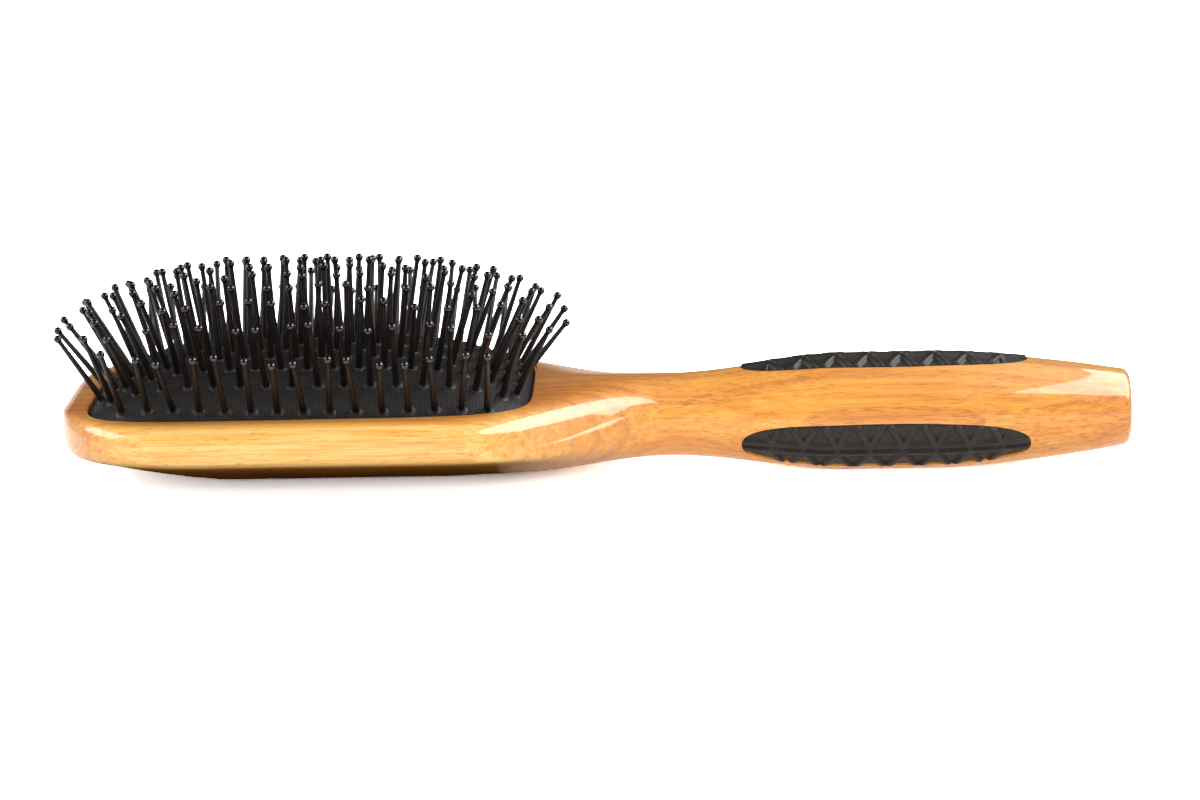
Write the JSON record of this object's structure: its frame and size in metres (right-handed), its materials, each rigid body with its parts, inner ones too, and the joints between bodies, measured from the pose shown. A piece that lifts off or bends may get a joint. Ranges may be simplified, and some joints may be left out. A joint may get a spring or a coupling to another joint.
{
  "type": "detangling brush",
  "caption": "Paddle detangling brush: one-piece bamboo body, domed rubber air cushion with ball-tipped pins that give when pressed, ribbed rubber grip inlays.",
  "frame": {"origin": "on the resting land of the head's back, under the middle of the cushion", "axes": "+X along the handle towards the butt, +Z out of the cushion along the middle pins, +Y across the head"},
  "size_m": [0.2547, 0.0906, 0.052],
  "materials": {
    "bamboo": "laminated bamboo under gloss varnish",
    "cushion_rubber": "matt black with a fine cloth-like texture",
    "pin_nylon": "glossy near-black nylon",
    "grip_rubber": "satin black"
  },
  "bodies": {
    "root": {"bamboo_body": "bamboo", "cushion": "cushion_rubber", "top_grip": "grip_rubber", "near_grip": "grip_rubber", "far_grip": "grip_rubber"},
    "pins_centre": {"pins_centre": "pin_nylon"},
    "pins_ring_2": {"pins_ring_2": "pin_nylon"},
    "pins_ring_3": {"pins_ring_3": "pin_nylon"},
    "pins_ring_4": {"pins_ring_4": "pin_nylon"},
    "pins_ring_5": {"pins_ring_5": "pin_nylon"},
    "pins_rim": {"pins_rim": "pin_nylon"}
  },
  "joints": [
    {"name": "press_centre", "type": "slide", "parent": "root", "child": "pins_centre", "axis": [0, 0, 1], "range_m": [-0.003, 0], "stiffness_N_per_m": 250, "deforming": ["cushion"]},
    {"name": "press_ring_2", "type": "slide", "parent": "root", "child": "pins_ring_2", "axis": [0, 0, 1], "range_m": [-0.00286, 0], "stiffness_N_per_m": 250},
    {"name": "press_ring_3", "type": "slide", "parent": "root", "child": "pins_ring_3", "axis": [0, 0, 1], "range_m": [-0.00251, 0], "stiffness_N_per_m": 250},
    {"name": "press_ring_4", "type": "slide", "parent": "root", "child": "pins_ring_4", "axis": [0, 0, 1], "range_m": [-0.00194, 0], "stiffness_N_per_m": 250},
    {"name": "press_ring_5", "type": "slide", "parent": "root", "child": "pins_ring_5", "axis": [0, 0, 1], "range_m": [-0.00151, 0], "stiffness_N_per_m": 250},
    {"name": "press_rim", "type": "slide", "parent": "root", "child": "pins_rim", "axis": [0, 0, 1], "range_m": [-0.000678, 0], "stiffness_N_per_m": 250}
  ],
  "couplings": [
    {"joint": "press_ring_2", "follows": "press_centre", "ratio": 0.952},
    {"joint": "press_ring_3", "follows": "press_centre", "ratio": 0.838},
    {"joint": "press_ring_4", "follows": "press_centre", "ratio": 0.645},
    {"joint": "press_ring_5", "follows": "press_centre", "ratio": 0.503},
    {"joint": "press_rim", "follows": "press_centre", "ratio": 0.226}
  ]
}
